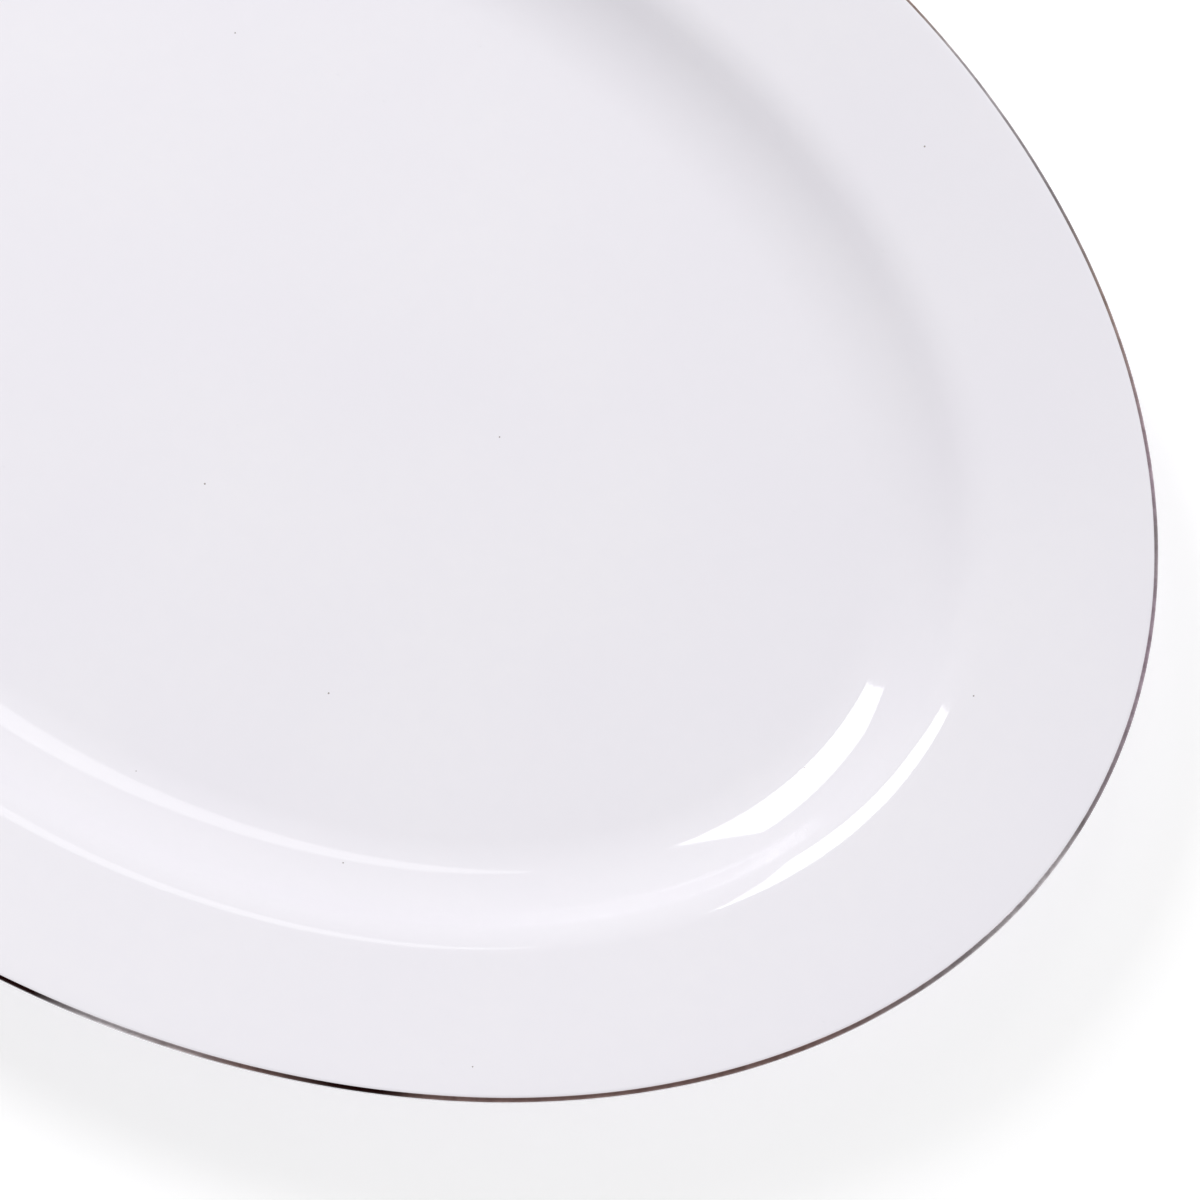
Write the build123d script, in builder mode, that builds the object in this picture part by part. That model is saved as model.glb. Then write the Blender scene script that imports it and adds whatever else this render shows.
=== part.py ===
"""Oval china serving platter: fired clay body, two glaze coats and a gilded edge line.

Millimetres, +Z up, the long axis along X. The origin is the middle of the foot ring's resting plane.
Every face of the china runs between two ovals, and its corners are then rounded. A section corner is
written (X, Z), where X is the long semi-axis of the oval that passes through it and Z its height.
"""
from build123d import *
import os
from math import cos, radians, tan

# Overall size, over the gilded edge line
LENGTH = 356.0
WIDTH = 261.0
HEIGHT = 24.0

# Rim, the broad border, measured from the edge to where the shoulder starts to turn down
RIM_WIDTH_AT_END = 31.0
RIM_WIDTH_AT_SIDE = 27.2
RIM_SLOPE = radians(9.5)
LIP_THICKNESS = 3.4
LIP_RADIUS = 1.2

# Well, a flat floor with an S-curved wall up to the shoulder
FLOOR_HEIGHT = 7.8
WALL_SLOPE = radians(42.0)
THICKNESS = 4.9
SHOULDER_RADIUS = 13.0
WELL_RADIUS = 24.0
UNDER_SHOULDER_RADIUS = 8.0
UNDER_WELL_RADIUS = 28.0

# Foot ring, measured along the long axis
FOOT_OUTER = 119.5
FOOT_FACE_WIDTH = 3.6
FOOT_DRAFT = 1.0
FOOT_ROOT_RADIUS = 1.2
FOOT_FACE_ROUNDING = 0.8

# Glaze, which stops short of the bare foot face, and gilding, which covers a band of the lip
GLAZE = 0.3
GLAZE_START = 1.2
GILDING = 0.35
GILDING_LOWEST = 22.1
GILDING_HIGHEST = 23.9
GILDING_REACH = 1.7

CHINA_END = LENGTH / 2 - GILDING
SHOULDER_END = LENGTH / 2 - RIM_WIDTH_AT_END
SHOULDER_SIDE = WIDTH / 2 - RIM_WIDTH_AT_SIDE
FOOT_HEIGHT = FLOOR_HEIGHT - THICKNESS


def oval(corner):
    """The horizontal oval through a section corner. The rim is narrower at the sides than at the ends."""
    semi_axis, height = corner
    outwards = max(0.0, (semi_axis - SHOULDER_END) / RIM_WIDTH_AT_END)
    at_shoulder = SHOULDER_END - SHOULDER_SIDE
    at_edge = (LENGTH - WIDTH) / 2
    with BuildSketch(Plane.XY.offset(height)) as sketch:
        Ellipse(semi_axis, semi_axis - at_shoulder - (at_edge - at_shoulder) * outwards)
    return sketch.sketch


def moved_in(corners, distance):
    """The inner corners of a section line after its faces move to the left of its direction."""
    moved = []
    for before, corner, after in zip(corners, corners[1:], corners[2:]):
        arriving = (Vector(*corner) - Vector(*before)).normalized()
        leaving = (Vector(*after) - Vector(*corner)).normalized()
        shift = (arriving + leaving).rotate(Axis.Z, 90) * (distance / (1 + arriving.dot(leaving)))
        moved.append((corner[0] + shift.X, corner[1] + shift.Y))
    return moved


def section_corners(inset):
    """Corners of the glazed section with every face moved in by inset, from the back over the lip."""
    lip_top = HEIGHT - LIP_RADIUS + LIP_RADIUS * (1 / cos(RIM_SLOPE) + tan(RIM_SLOPE))
    shoulder_end = SHOULDER_END - SHOULDER_RADIUS * tan((WALL_SLOPE - RIM_SLOPE) / 2) * cos(RIM_SLOPE)
    lip = (CHINA_END, lip_top)
    shoulder = (shoulder_end, lip_top - (CHINA_END - shoulder_end) * tan(RIM_SLOPE))
    well = (shoulder_end - (shoulder[1] - FLOOR_HEIGHT) / tan(WALL_SLOPE), FLOOR_HEIGHT)
    well_middle = (0, FLOOR_HEIGHT)
    under_middle = (0, FOOT_HEIGHT)
    under_lip = (CHINA_END, lip_top - LIP_THICKNESS)
    under_shoulder, under_well = moved_in([lip, shoulder, well, well_middle], THICKNESS)
    outline = [under_middle, under_well, under_shoulder, under_lip, lip, shoulder, well, well_middle]
    return moved_in(outline, inset)


def round_off(builder, corner, radius):
    """Round the oval edge that passes through a section corner."""
    opposite_the_seam = (-corner[0], 0, corner[1])
    fillet(builder.edges().sort_by_distance(opposite_the_seam)[0], radius)


def china_form(inset):
    """The platter's solid shape before the foot is hollowed, with its faces moved in by inset."""
    under_well, under_shoulder, under_lip, lip, shoulder, well = section_corners(inset)
    foot_face = (FOOT_OUTER - FOOT_DRAFT - inset, 0)
    foot_root = (FOOT_OUTER - inset, under_well[1])

    with BuildPart() as well_space:
        loft([oval(well), oval(shoulder), oval(lip)], ruled=True)
        round_off(well_space, well, WELL_RADIUS + inset)
        round_off(well_space, shoulder, SHOULDER_RADIUS - inset)

    with BuildPart() as form:
        loft([oval(under_well), oval(under_shoulder), oval(under_lip), oval(lip)], ruled=True)
        round_off(form, under_well, UNDER_WELL_RADIUS - inset)
        round_off(form, under_shoulder, UNDER_SHOULDER_RADIUS + inset)
        add(well_space.part, mode=Mode.SUBTRACT)
        round_off(form, under_lip, LIP_RADIUS - inset)
        round_off(form, lip, LIP_RADIUS - inset)
        loft([oval(foot_face), oval(foot_root)], ruled=True)
        round_off(form, foot_root, FOOT_ROOT_RADIUS + inset)
    return form.part


def foot_hollow(inset):
    """The hollow inside the foot ring, with its faces moved into the china by inset."""
    mouth_end = FOOT_OUTER - FOOT_DRAFT - FOOT_FACE_WIDTH + inset
    mouth = (mouth_end, 0)
    ceiling = (mouth_end - FOOT_DRAFT, FOOT_HEIGHT + inset)
    with BuildPart() as hollow:
        loft([oval(mouth), oval(ceiling)], ruled=True)
        round_off(hollow, ceiling, FOOT_ROOT_RADIUS + inset)
    return hollow.part


glazed_form = china_form(0.0)
clay_form = china_form(GLAZE)

# Fired clay body, bare on the ground face of the foot ring
with BuildPart() as china_body:
    add(clay_form)
    add(foot_hollow(GLAZE), mode=Mode.SUBTRACT)
    fillet(china_body.edges().group_by(Axis.Z)[0], FOOT_FACE_ROUNDING)

# Clear glaze over the front, the lip and the back, down to just above the foot face
with BuildPart() as glaze_coat:
    add(glazed_form)
    add(clay_form, mode=Mode.SUBTRACT)
    split(bisect_by=Plane.XY.offset(GLAZE_START), keep=Keep.TOP)

# Clear glaze inside the foot ring
with BuildPart() as foot_recess_glaze:
    add(foot_hollow(GLAZE))
    add(foot_hollow(0.0), mode=Mode.SUBTRACT)
    split(bisect_by=Plane.XY.offset(GLAZE_START), keep=Keep.TOP)

# Gilded line round the lip
with BuildPart() as edge_gilding:
    add(china_form(-GILDING))
    add(glazed_form, mode=Mode.SUBTRACT)
    with BuildSketch(Plane.XY.offset(GILDING_LOWEST)):
        Ellipse(LENGTH / 2 + GILDING, WIDTH / 2 + GILDING)
        Ellipse(LENGTH / 2 - GILDING_REACH, WIDTH / 2 - GILDING_REACH, mode=Mode.SUBTRACT)
    extrude(amount=GILDING_HIGHEST - GILDING_LOWEST, mode=Mode.INTERSECT)

china_body.part.label = "china_body"
glaze_coat.part.label = "glaze_coat"
foot_recess_glaze.part.label = "foot_recess_glaze"
edge_gilding.part.label = "edge_gilding"

os.makedirs("parts", exist_ok=True)
for piece in (china_body, glaze_coat, foot_recess_glaze, edge_gilding):
    export_step(piece.part, f"parts/{piece.part.label}.step")
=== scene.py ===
import cmath
import math

import bmesh
import bpy
import numpy as np
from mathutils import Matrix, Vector


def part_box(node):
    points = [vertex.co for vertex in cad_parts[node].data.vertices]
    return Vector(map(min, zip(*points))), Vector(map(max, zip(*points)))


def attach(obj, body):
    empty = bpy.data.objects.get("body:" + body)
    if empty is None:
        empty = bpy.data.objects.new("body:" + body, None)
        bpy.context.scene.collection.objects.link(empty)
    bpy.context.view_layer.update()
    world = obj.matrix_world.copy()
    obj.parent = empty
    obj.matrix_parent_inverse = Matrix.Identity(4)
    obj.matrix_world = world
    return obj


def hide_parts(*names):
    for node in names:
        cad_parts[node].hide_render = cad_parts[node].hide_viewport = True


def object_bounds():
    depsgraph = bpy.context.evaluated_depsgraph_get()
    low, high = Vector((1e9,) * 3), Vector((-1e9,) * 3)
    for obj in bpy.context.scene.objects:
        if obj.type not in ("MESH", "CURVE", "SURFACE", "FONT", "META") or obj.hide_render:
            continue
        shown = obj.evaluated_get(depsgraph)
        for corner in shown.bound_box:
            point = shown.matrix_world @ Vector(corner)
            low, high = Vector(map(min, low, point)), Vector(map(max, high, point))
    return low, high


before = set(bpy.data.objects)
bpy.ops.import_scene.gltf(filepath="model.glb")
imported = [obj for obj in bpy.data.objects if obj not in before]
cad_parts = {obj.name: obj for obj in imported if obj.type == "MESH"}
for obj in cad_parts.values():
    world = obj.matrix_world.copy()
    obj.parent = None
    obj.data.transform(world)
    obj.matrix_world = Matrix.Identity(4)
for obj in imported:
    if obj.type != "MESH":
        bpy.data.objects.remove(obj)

MM = 0.001
cad_low, cad_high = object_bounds()
china_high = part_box("glaze_coat")[1]

# Section sizes that the boxes don't give, as in the CAD
RIM_WIDTH_AT_END = 31.0 * MM
RIM_WIDTH_AT_SIDE = 27.2 * MM
RIM_SLOPE = math.radians(9.5)
LIP_THICKNESS = 3.4 * MM
LIP_RADIUS = 1.2 * MM
FLOOR_HEIGHT = 7.8 * MM
WALL_SLOPE = math.radians(42)
THICKNESS = 4.9 * MM
SHOULDER_RADIUS = 13.0 * MM
WELL_RADIUS = 24.0 * MM
UNDER_SHOULDER_RADIUS = 8.0 * MM
UNDER_WELL_RADIUS = 28.0 * MM
FOOT_OUTER = 119.5 * MM
FOOT_FACE_WIDTH = 3.6 * MM
FOOT_DRAFT = 1.0 * MM
FOOT_ROOT_RADIUS = 1.2 * MM
FOOT_FACE_ROUNDING = 0.8 * MM
GLAZE = 0.3 * MM
GLAZE_START = 1.2 * MM

# The visible gilding. It is thinner and narrower than the CAD's, which is stout so as to pack as a solid.
# Its edges are those heights on the lip, each moved up along the lip by its shift.
GILDING_LOWEST = 22.7 * MM
GILDING_HIGHEST = 23.9 * MM
GILDING_START_SHIFT = 0.25 * MM
GILDING_END_SHIFT = 0.03 * MM
GILDING_PROUD = 0.12 * MM

# The bend that firing leaves, in millimetres: its heights, and the height over which it fades in and out
BROAD_BEND = 0.05
NARROW_BEND = 0.03
BEND_FADE = 6.0

FOOT_HEIGHT = FLOOR_HEIGHT - THICKNESS
SHOULDER_END = cad_high.x - RIM_WIDTH_AT_END
EDGE_DIFFERENCE = cad_high.x - cad_high.y
SHOULDER_DIFFERENCE = EDGE_DIFFERENCE - RIM_WIDTH_AT_END + RIM_WIDTH_AT_SIDE

# Mesh fineness. SEGMENTS is a multiple of 4, and MIDDLE_END is where the ovals give way to a grid.
SEGMENTS = 360
MIDDLE_END = 112 * MM
RUN_STEP = 3 * MM
FINE_SAG = 0.004 * MM
HIDDEN_SAG = 0.02 * MM
MERGE = 0.001 * MM


# Section lines

def moved_in(corners, distance):
    """The inner corners of a section line after its faces move to the left of its direction."""
    moved = []
    for before, corner, after in zip(corners, corners[1:], corners[2:]):
        arriving = (corner - before) / abs(corner - before)
        leaving = (after - corner) / abs(after - corner)
        cosine = (arriving * leaving.conjugate()).real
        moved.append(corner + 1j * (arriving + leaving) * distance / (1 + cosine))
    return moved


def divided(line):
    """A line's points, with more of them where they are over RUN_STEP apart."""
    points = []
    for start, end in zip(line, line[1:]):
        steps = math.ceil(abs(end - start) / RUN_STEP)
        points += [start + (end - start) * step / steps for step in range(steps)]
    return points + [line[-1]]


def rounded(corners, radii, sag):
    """A line through corners, the inner ones rounded. A chord passes at most sag inside its arc."""
    line = [corners[0]]
    for before, corner, after, radius in zip(corners, corners[1:], corners[2:], radii):
        arriving = (corner - before) / abs(corner - before)
        turn = cmath.phase((after - corner) / (corner - before))
        arc_start = corner - arriving * radius * math.tan(abs(turn) / 2)
        centre = arc_start + 1j * arriving * math.copysign(radius, turn)
        steps = math.ceil(abs(turn) / (2 * math.acos(1 - sag / radius)))
        for step in range(steps + 1):
            line.append(centre + (arc_start - centre) * cmath.rect(1, turn * step / steps))
    return divided(line + [corners[-1]])


def china_corners(inset):
    """Corners of the china's outside, from the foot's face over the lip to the floor, moved in by inset."""
    lip_top = china_high.z - LIP_RADIUS + LIP_RADIUS * (1 / math.cos(RIM_SLOPE) + math.tan(RIM_SLOPE))
    turn_length = SHOULDER_RADIUS * math.tan((WALL_SLOPE - RIM_SLOPE) / 2)
    shoulder_end = SHOULDER_END - turn_length * math.cos(RIM_SLOPE)
    lip = complex(china_high.x, lip_top)
    shoulder = complex(shoulder_end, lip_top - (china_high.x - shoulder_end) * math.tan(RIM_SLOPE))
    well = complex(shoulder_end - (shoulder.imag - FLOOR_HEIGHT) / math.tan(WALL_SLOPE), FLOOR_HEIGHT)
    under_lip = lip - 1j * LIP_THICKNESS
    under_shoulder, under_well = moved_in([lip, shoulder, well, 1j * FLOOR_HEIGHT], THICKNESS)
    back = [1j * FOOT_HEIGHT, under_well, under_shoulder, under_lip]
    front = [lip, shoulder, well, 1j * FLOOR_HEIGHT]
    moved = moved_in(back + front, inset)
    foot_face = complex(FOOT_OUTER - FOOT_DRAFT - inset, 0)
    foot_root = complex(FOOT_OUTER - inset, moved[0].imag)
    return [foot_face, foot_root, *moved, complex(MIDDLE_END, FLOOR_HEIGHT - inset)]


def china_radii(inset):
    """Radii of china_corners(inset) between its first and last."""
    back = [FOOT_ROOT_RADIUS + inset, UNDER_WELL_RADIUS - inset, UNDER_SHOULDER_RADIUS + inset]
    front = [SHOULDER_RADIUS - inset, WELL_RADIUS + inset]
    return back + [LIP_RADIUS - inset] * 2 + front


def recess_corners(inset):
    """Corners of the hollow inside the foot ring, from its middle to the foot's face."""
    mouth = complex(FOOT_OUTER - FOOT_DRAFT - FOOT_FACE_WIDTH + inset, 0)
    ceiling = mouth + complex(-FOOT_DRAFT, FOOT_HEIGHT + inset)
    return [complex(MIDDLE_END, ceiling.imag), ceiling, mouth]


def cut_at_glaze_start(face, corner):
    """The point of the wall from a foot face corner to the next one where the glaze starts."""
    return face + (corner - face) * GLAZE_START / corner.imag


def bead(start, end):
    """A half-round glaze edge below the line from start to end, without those two points."""
    centre = (start + end) / 2
    lowest = centre - 1j * abs(start - end) / 2
    side = (start - centre) * math.cos(math.radians(45))
    below = (lowest - centre) * math.sin(math.radians(45))
    return [centre + side + below, lowest, centre - side + below]


def glaze_coat_line():
    """Outside of the glaze from the floor over the lip to the foot, its beaded edge, and the clay side."""
    outside = china_corners(0)
    inside = china_corners(GLAZE)
    outside[0] = cut_at_glaze_start(outside[0], outside[1])
    inside[0] = cut_at_glaze_start(inside[0], inside[1])
    shown = rounded(outside, china_radii(0), FINE_SAG)
    hidden = rounded(inside, china_radii(GLAZE), HIDDEN_SAG)
    return shown[::-1] + bead(outside[0], inside[0]) + hidden


def recess_glaze_line():
    """Glaze inside the foot ring: its outside, its beaded edge, and the clay side."""
    outside = recess_corners(0)
    inside = recess_corners(GLAZE)
    outside[2] = cut_at_glaze_start(outside[2], outside[1])
    inside[2] = cut_at_glaze_start(inside[2], inside[1])
    shown = rounded(outside, [FOOT_ROOT_RADIUS], FINE_SAG)
    hidden = rounded(inside, [FOOT_ROOT_RADIUS + GLAZE], HIDDEN_SAG)
    return shown + bead(outside[2], inside[2]) + hidden[::-1]


def china_body_line():
    """The clay, from the middle of the foot's hollow round the foot and over the lip to the floor."""
    corners = recess_corners(GLAZE) + china_corners(GLAZE)
    radii = [FOOT_ROOT_RADIUS + GLAZE, FOOT_FACE_ROUNDING, FOOT_FACE_ROUNDING, *china_radii(GLAZE)]
    return rounded(corners, radii, HIDDEN_SAG / 2)


# Meshes

def side_semi_axis(end):
    """Short semi-axis of the oval whose long one is end. The rim is narrower at the sides."""
    outwards = np.clip((end - SHOULDER_END) / RIM_WIDTH_AT_END, 0, None)
    return end - SHOULDER_DIFFERENCE - (EDGE_DIFFERENCE - SHOULDER_DIFFERENCE) * outwards


def fired(points):
    """Points moved up or down a little, as firing bends china, and not at all at the foot's face."""
    x, y, z = points.T / MM
    bend = BROAD_BEND * np.sin(x / 19 + 1.1) * np.cos(y / 23 + 0.4)
    bend += NARROW_BEND * np.sin(x / 11 - y / 13 + 2.0)
    ease = np.clip(z / BEND_FADE, 0, 1) * np.clip((china_high.z / MM - z) / BEND_FADE, 0, 1)
    return points + np.outer(bend * ease * MM, (0, 0, 1))


def oval_points(ends, heights):
    """Points round the ovals. ends and heights are arrays with a row for each oval."""
    angles = np.arange(SEGMENTS) * (2 * math.pi / SEGMENTS)
    across = ends * np.cos(angles)
    along = side_semi_axis(ends) * np.sin(angles)
    return np.stack([across, along, heights + 0 * angles], axis=-1).reshape(-1, 3)


def oval_faces(rows, closed):
    """Four-sided faces between neighbouring ovals, and between the last and the first if closed."""
    index = np.arange(rows * SEGMENTS).reshape(rows, SEGMENTS)
    if closed:
        index = np.vstack([index, index[:1]])
    turned = np.roll(index, -1, axis=1)
    return np.stack([index[:-1], turned[:-1], turned[1:], index[1:]], axis=-1).reshape(-1, 4)


def middle_grid(height):
    """Points and faces of a square grid spread over the oval at MIDDLE_END, its border evenly in angle."""
    count = SEGMENTS // 4 + 1
    side = np.linspace(-1, 1, count)
    u, v = np.meshgrid(side, side)
    wide = abs(u) >= abs(v)
    reach = np.where(wide, u, v)
    with np.errstate(divide="ignore", invalid="ignore"):
        eighths = np.nan_to_num(np.where(wide, v / u, 2 - u / v))
    x = MIDDLE_END * reach * np.cos(eighths * math.pi / 4)
    y = side_semi_axis(MIDDLE_END) * reach * np.sin(eighths * math.pi / 4)
    points = np.stack([x, y, np.full_like(x, height)], axis=-1).reshape(-1, 3)
    index = np.arange(count * count).reshape(count, count)
    corners = [index[:-1, :-1], index[1:, :-1], index[1:, 1:], index[:-1, 1:]]
    return points, np.stack(corners, axis=-1).reshape(-1, 4)


def smooth_object(name, points, faces):
    """A smooth-shaded object with its normals facing out and coinciding points joined."""
    mesh = bpy.data.meshes.new(name)
    mesh.from_pydata(fired(points).tolist(), [], faces.tolist())
    work = bmesh.new()
    work.from_mesh(mesh)
    bmesh.ops.remove_doubles(work, verts=work.verts, dist=MERGE)
    bmesh.ops.recalc_face_normals(work, faces=work.faces)
    work.to_mesh(mesh)
    work.free()
    mesh.shade_smooth()
    made = bpy.data.objects.new(name, mesh)
    bpy.context.scene.collection.objects.link(made)
    return made


def closed_solid(name, line):
    """A solid whose surface runs along a section line, closed by a grid in the middle at both its ends."""
    line = np.array(line)[:, None]
    points = oval_points(line.real, line.imag)
    faces = oval_faces(len(line), closed=False)
    for height in (line[0, 0].imag, line[-1, 0].imag):
        more_points, more_faces = middle_grid(height)
        faces = np.vstack([faces, more_faces + len(points)])
        points = np.vstack([points, more_points])
    return smooth_object(name, points, faces)


def gilding_solid(name):
    """The gilded line: a thin crescent on the lip, its two edges wavering as a brush leaves them."""
    corners = china_corners(0)
    lip_line = np.array(rounded(corners[3:7], [LIP_RADIUS, LIP_RADIUS], FINE_SAG / 4))
    rising = lip_line[:np.argmax(lip_line.imag) + 1]
    run = np.concatenate([[0], np.cumsum(abs(np.diff(rising)))])
    lowest, highest = np.interp((GILDING_LOWEST, GILDING_HIGHEST), rising.imag, run)
    angles = np.arange(SEGMENTS) * (2 * math.pi / SEGMENTS)
    waver = 0.05 * np.sin(7 * angles + 0.5) + 0.04 * np.sin(17 * angles + 2.0) + 0.02 * np.sin(41 * angles)
    lowest = lowest + GILDING_START_SHIFT + waver[::-1] * MM
    highest = highest + GILDING_END_SHIFT - 0.5 * waver * MM
    shares = np.linspace(0, 1, 15)[:, None]
    runs = lowest + (highest - lowest) * shares
    reach = np.interp(runs, run, rising.real)
    heights = np.interp(runs, run, rising.imag)
    proud = GILDING_PROUD * np.sqrt(np.sin(math.pi * np.clip(shares, 0.01, 0.99)))
    tilt = np.arctan2(heights - (china_high.z - LIP_RADIUS), LIP_RADIUS - (china_high.x - reach))
    tilt = np.clip(tilt, 0, math.pi / 2)
    ends = np.vstack([reach + proud * np.cos(tilt), reach[::-1]])
    both_heights = np.vstack([heights + proud * np.sin(tilt), heights[::-1]])
    return smooth_object(name, oval_points(ends, both_heights), oval_faces(len(ends), closed=True))


# Materials

def principled(name):
    """A new material's node tree and its Principled shader."""
    material = bpy.data.materials.new(name)
    material.use_nodes = True
    return material, material.node_tree, material.node_tree.nodes["Principled BSDF"]


def add(tree, kind, sockets=(), **settings):
    """Add a node with its settings, and set or link its sockets, given as (name or number, value)."""
    made = tree.nodes.new("ShaderNode" + kind)
    for name, value in settings.items():
        setattr(made, name, value)
    for name, value in sockets:
        if isinstance(value, bpy.types.NodeSocket):
            tree.links.new(value, made.inputs[name])
        else:
            made.inputs[name].default_value = value
    return made


def noise(tree, place, size, detail=2.0, roughness=0.5):
    """Noise from 0 to 1 whose features are about size metres."""
    sockets = [("Vector", place), ("Scale", 1 / size), ("Detail", detail), ("Roughness", roughness)]
    return add(tree, "TexNoise", sockets).outputs["Fac"]


def ranged(tree, value, from_low, from_high, to_low, to_high):
    """value spread from one range to another, held at its ends."""
    sockets = [("Value", value), ("From Min", from_low), ("From Max", from_high)]
    sockets += [("To Min", to_low), ("To Max", to_high)]
    return add(tree, "MapRange", sockets).outputs["Result"]


def mixed(tree, share, first, second):
    """A colour from first to second by share."""
    sockets = [("Factor", share), (6, first), (7, second)]
    return add(tree, "Mix", sockets, data_type="RGBA").outputs[2]


def bumped(tree, height, distance, below=None):
    """The normal of a surface that height, from 0 to 1, raises by distance, over an earlier bump."""
    sockets = [("Height", height), ("Distance", distance)]
    if below is not None:
        sockets.append(("Normal", below))
    return add(tree, "Bump", sockets).outputs["Normal"]


def specks(tree, place, spacing, radius, share):
    """1 inside small round specks, about one in each square of side spacing for that share of them."""
    cells = add(tree, "TexVoronoi", [("Vector", place), ("Scale", 1 / spacing)], voronoi_dimensions="2D")
    draw = add(tree, "SeparateColor", [("Color", cells.outputs["Color"])])
    size = ranged(tree, draw.outputs["Green"], 0.0, 1.0, 0.4 * radius / spacing, radius / spacing)
    inside = add(tree, "Math", [(0, cells.outputs["Distance"]), (1, size)], operation="LESS_THAN")
    chosen = add(tree, "Math", [(0, draw.outputs["Red"]), (1, share)], operation="LESS_THAN")
    both = [(0, inside.outputs[0]), (1, chosen.outputs[0])]
    return add(tree, "Math", both, operation="MULTIPLY").outputs[0]


def glazed_china(name):
    """Glossy cool white glaze: slight mottling, an even softness in its gloss, and a few iron specks."""
    material, tree, shader = principled(name)
    place = add(tree, "TexCoord").outputs["Object"]
    broad = ranged(tree, noise(tree, place, 45 * MM), 0.3, 0.7, 0.0, 1.0)
    fine = ranged(tree, noise(tree, place, 4 * MM, detail=4.0), 0.3, 0.7, 0.0, 1.0)
    body = mixed(tree, broad, (0.888, 0.866, 0.924, 1), (0.903, 0.884, 0.930, 1))
    mottled = mixed(tree, ranged(tree, fine, 0.0, 1.0, 0.0, 0.35), body, (0.876, 0.859, 0.912, 1))
    iron = specks(tree, place, 21 * MM, 0.22 * MM, 0.12)
    shown = mixed(tree, iron, mottled, (0.36, 0.32, 0.32, 1))
    tree.links.new(shown, shader.inputs["Base Color"])
    tree.links.new(ranged(tree, broad, 0.0, 1.0, 0.035, 0.06), shader.inputs["Roughness"])
    ripple = bumped(tree, noise(tree, place, 14 * MM), 0.012 * MM)
    pinholes = specks(tree, place, 11 * MM, 0.16 * MM, 0.2)
    pitted = bumped(tree, ranged(tree, pinholes, 0.0, 1.0, 1.0, 0.0), 0.04 * MM, ripple)
    tree.links.new(pitted, shader.inputs["Normal"])
    shader.inputs["IOR"].default_value = 1.52
    return material


def bare_china(name):
    """Ground, unglazed china: matt warm white with a fine grain and grey rubs from shelves."""
    material, tree, shader = principled(name)
    place = add(tree, "TexCoord").outputs["Object"]
    grain = noise(tree, place, 0.5 * MM, detail=6.0, roughness=0.7)
    rubs = ranged(tree, noise(tree, place, 9 * MM, detail=5.0, roughness=0.65), 0.52, 0.70, 0.0, 0.6)
    clay = mixed(tree, grain, (0.70, 0.67, 0.62, 1), (0.80, 0.78, 0.74, 1))
    tree.links.new(mixed(tree, rubs, clay, (0.42, 0.40, 0.38, 1)), shader.inputs["Base Color"])
    tree.links.new(ranged(tree, grain, 0.3, 0.7, 0.62, 0.85), shader.inputs["Roughness"])
    tree.links.new(bumped(tree, grain, 0.05 * MM), shader.inputs["Normal"])
    return material


# Painted reflections in the gilded line: tones that stand in for the surroundings the gold mirrors, and
# where round the platter they lie, in degrees from +X
PALE = (0.52, 0.48, 0.50, 1)
LILAC = (0.42, 0.33, 0.39, 1)
TAN = (0.37, 0.28, 0.25, 1)
GREY = (0.28, 0.25, 0.26, 1)
BROWN = (0.20, 0.13, 0.12, 1)
BLACK = (0.010, 0.001, 0.001, 1)
GILDING_REFLECTION_TONES = [
    (-150, TAN), (-120, GREY), (-90, BLACK), (-77, BLACK), (-71, PALE), (-59, BROWN), (-54, BLACK),
    (-50, BLACK), (-46, BROWN), (-21, BROWN), (-11, GREY), (-4, PALE), (0, GREY), (12, LILAC), (18, GREY),
    (23, LILAC), (34, TAN), (42, GREY), (54, PALE), (60, TAN), (90, BROWN), (110, BLACK), (120, BROWN),
    (150, LILAC),
]


def gilding_wear_and_painted_reflection(name):
    """Thin aged gold with worn flecks and painted reflections: its tone round the edge, coppery, grey or
    almost black, stands in for lighter and darker surroundings mirrored in the gold.
    """
    material, tree, shader = principled(name)
    place = add(tree, "TexCoord").outputs["Object"]
    axes = add(tree, "SeparateXYZ", [(0, place)]).outputs
    angle = add(tree, "Math", [(0, axes["Y"]), (1, axes["X"])], operation="ARCTAN2").outputs[0]
    drift = ranged(tree, noise(tree, place, 20 * MM, detail=3.0), 0.0, 1.0, -0.01, 0.01)
    turn = ranged(tree, angle, -math.pi, math.pi, 0.0, 1.0)
    drifted = add(tree, "Math", [(0, turn), (1, drift)], operation="ADD").outputs[0]
    # Painted reflection: the gold's tone is looked up by its angle round the platter.
    ramp = add(tree, "ValToRGB", [("Fac", drifted)])
    tones = ramp.color_ramp.elements
    tones.remove(tones[1])
    tones[0].color = GILDING_REFLECTION_TONES[0][1]
    for degrees, tone in GILDING_REFLECTION_TONES:
        tones.new(degrees / 360 + 0.5).color = tone
    fine = ranged(tree, noise(tree, place, 2.5 * MM, detail=5.0, roughness=0.65), 0.35, 0.65, 0.0, 1.0)
    worn = ranged(tree, fine, 0.0, 1.0, 0.0, 0.35)
    painted_reflection_and_wear = mixed(tree, worn, ramp.outputs["Color"], (0.04, 0.02, 0.018, 1))
    tree.links.new(painted_reflection_and_wear, shader.inputs["Base Color"])
    tree.links.new(ranged(tree, fine, 0.0, 1.0, 0.28, 0.5), shader.inputs["Roughness"])
    tree.links.new(bumped(tree, fine, 0.01 * MM), shader.inputs["Normal"])
    shader.inputs["Metallic"].default_value = 1.0
    return material


# Scene

CAMERA_AZIMUTH = math.radians(31.77)
CAMERA_ELEVATION = math.radians(75.94)
CAMERA_DISTANCE = 1.3
CAMERA_TARGET = Vector((76.3 * MM, -5.35 * MM, 0))
CAMERA_LENS = 206.2
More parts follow.
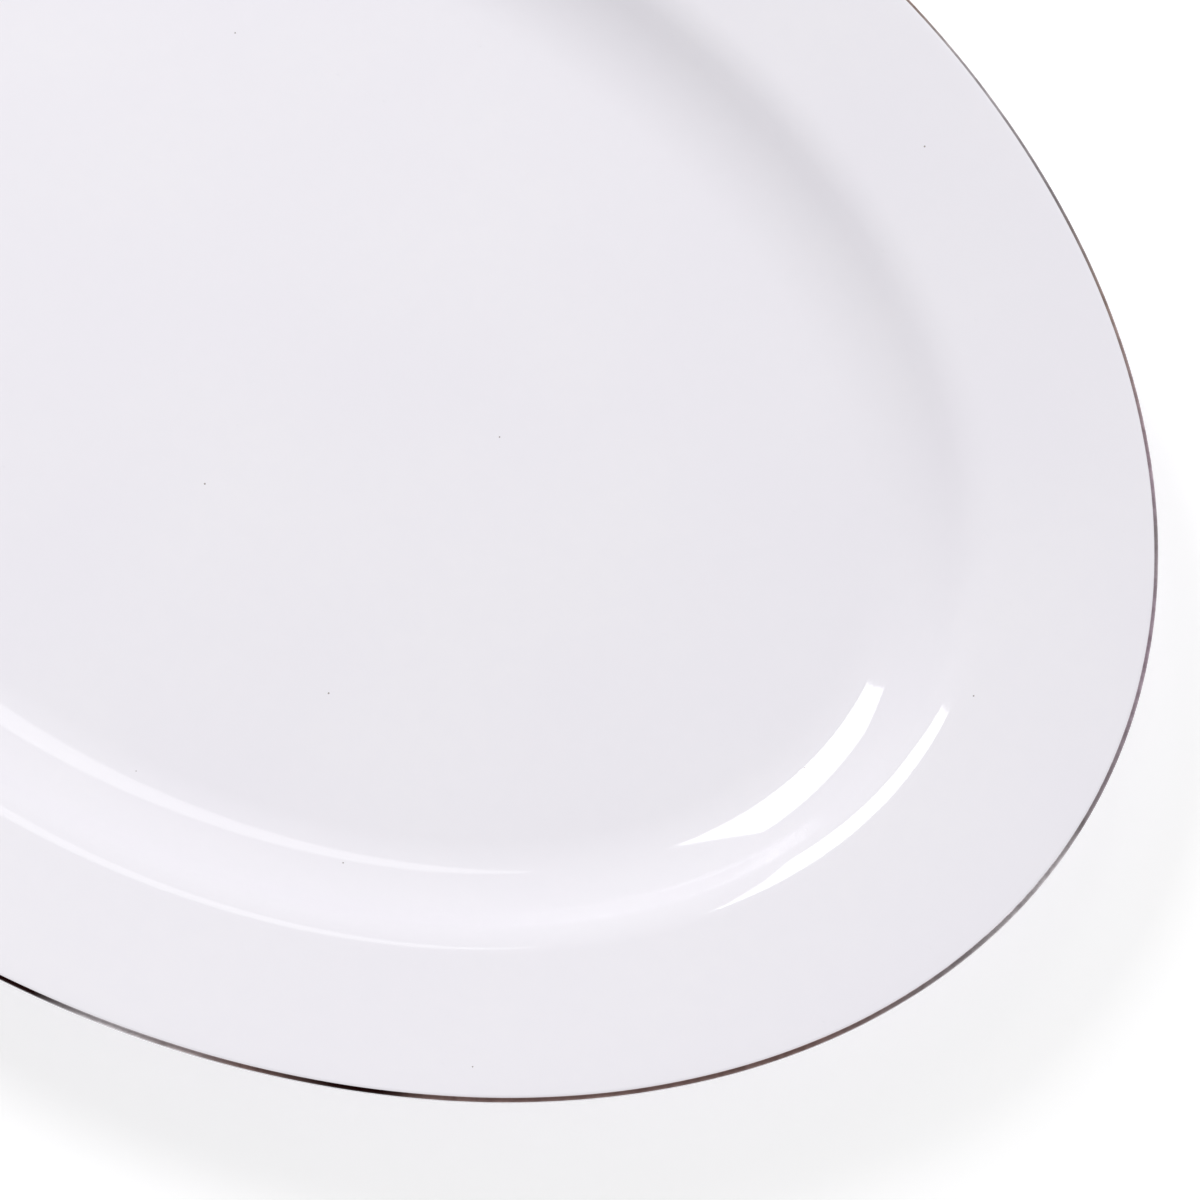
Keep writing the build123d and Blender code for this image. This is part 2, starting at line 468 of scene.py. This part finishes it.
# Corners of the softboxes, each an azimuth and elevation as direction() takes them
UPPER_LEFT_SOFTBOX = [(-38.6, 56.5), (-46.0, 39.8), (-40.1, 32.1), (-21.6, 21.4), (-10.5, 47.7)]
UPPER_SOFTBOX = [(11.2, 60.0), (6.6, 55.7), (-1.4, 48.1), (23.2, 40.0), (30.0, 60.0)]
SOFTBOX_DISTANCE = 1.5
UPPER_LEFT_STRENGTH = 7.8
UPPER_STRENGTH = 2.4
WORLD_STRENGTH = 0.685
FLOOR_HALF = 6.0
FLOOR_GLOW = 0.27
AWAY = Vector((-math.sin(CAMERA_AZIMUTH), math.cos(CAMERA_AZIMUTH), 0))
RIGHT = Vector((math.cos(CAMERA_AZIMUTH), math.sin(CAMERA_AZIMUTH), 0))


def make_camera():
    """The camera looks down at one end of the platter, close enough for the other end to be out of view."""
    flat_back = -AWAY * math.cos(CAMERA_ELEVATION)
    back = flat_back + Vector((0, 0, math.sin(CAMERA_ELEVATION)))
    data = bpy.data.cameras.new("camera")
    data.lens = CAMERA_LENS
    data.clip_end = 50
    camera = bpy.data.objects.new("camera", data)
    camera.location = CAMERA_TARGET + back * CAMERA_DISTANCE
    camera.rotation_mode = "QUATERNION"
    camera.rotation_quaternion = back.to_track_quat("Z", "Y")
    bpy.context.scene.collection.objects.link(camera)
    bpy.context.scene.camera = camera


def direction(azimuth, elevation):
    """A direction from the platter, its azimuth clockwise in degrees from straight away from the camera."""
    a = math.radians(azimuth)
    e = math.radians(elevation)
    return (AWAY * math.cos(a) + RIGHT * math.sin(a)) * math.cos(e) + Vector((0, 0, math.sin(e)))


def make_softbox(name, corners, strength):
    """A glowing flat panel with its corners in those directions. It isn't seen directly."""
    mesh = bpy.data.meshes.new(name)
    points = [direction(*corner) * SOFTBOX_DISTANCE for corner in corners]
    mesh.from_pydata(points, [], [tuple(range(len(points)))])
    material = bpy.data.materials.new(name)
    material.use_nodes = True
    tree = material.node_tree
    tree.nodes.clear()
    glow = add(tree, "Emission", [("Color", (1.0, 0.995, 1.0, 1)), ("Strength", strength)])
    add(tree, "OutputMaterial", [("Surface", glow.outputs[0])])
    mesh.materials.append(material)
    panel = bpy.data.objects.new(name, mesh)
    panel.visible_camera = False
    bpy.context.scene.collection.objects.link(panel)


def make_floor():
    """A wide pale floor under the foot ring."""
    mesh = bpy.data.meshes.new("floor")
    turns = [(-1, -1), (1, -1), (1, 1), (-1, 1)]
    corners = [(x * FLOOR_HALF, y * FLOOR_HALF, 0) for x, y in turns]
    mesh.from_pydata(corners, [], [(0, 1, 2, 3)])
    material, tree, shader = principled("pale_floor")
    shader.inputs["Base Color"].default_value = (0.9, 0.9, 0.9, 1)
    shader.inputs["Roughness"].default_value = 0.9
    shader.inputs["Emission Color"].default_value = (1, 1, 1, 1)
    shader.inputs["Emission Strength"].default_value = FLOOR_GLOW
    mesh.materials.append(material)
    floor = bpy.data.objects.new("floor", mesh)
    bpy.context.scene.collection.objects.link(floor)


def make_world(strength):
    """White light from all round, a little stronger from the right and from the far side."""
    world = bpy.data.worlds.new("studio")
    world.use_nodes = True
    tree = world.node_tree
    looking = add(tree, "TexCoord").outputs["Generated"]
    lean = AWAY * 0.05 + RIGHT * 0.14
    more = add(tree, "VectorMath", [(0, looking), (1, lean)], operation="DOT_PRODUCT")
    total = add(tree, "Math", [(0, more.outputs["Value"]), (1, strength)], operation="ADD")
    background = tree.nodes["Background"]
    background.inputs["Color"].default_value = (1, 1, 1, 1)
    tree.links.new(total.outputs[0], background.inputs["Strength"])
    bpy.context.scene.world = world


def finish_piece(piece, node, material):
    """Put a new piece in a CAD node's place, with its material."""
    piece.data.materials.append(material)
    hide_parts(node)
    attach(piece, "root")


bare = bare_china("bare_china")
glaze = glazed_china("glazed_china")
gold = gilding_wear_and_painted_reflection("gilding_wear_and_painted_reflection")
finish_piece(closed_solid("china_body_mesh", china_body_line()), "china_body", bare)
finish_piece(closed_solid("glaze_coat_mesh", glaze_coat_line()), "glaze_coat", glaze)
finish_piece(closed_solid("foot_recess_glaze_mesh", recess_glaze_line()), "foot_recess_glaze", glaze)
finish_piece(gilding_solid("edge_gilding_mesh"), "edge_gilding", gold)

make_camera()
make_floor()
make_world(WORLD_STRENGTH)
make_softbox("upper_left_softbox", UPPER_LEFT_SOFTBOX, UPPER_LEFT_STRENGTH)
make_softbox("upper_softbox", UPPER_SOFTBOX, UPPER_STRENGTH)
bpy.context.scene.view_settings.view_transform = "Standard"
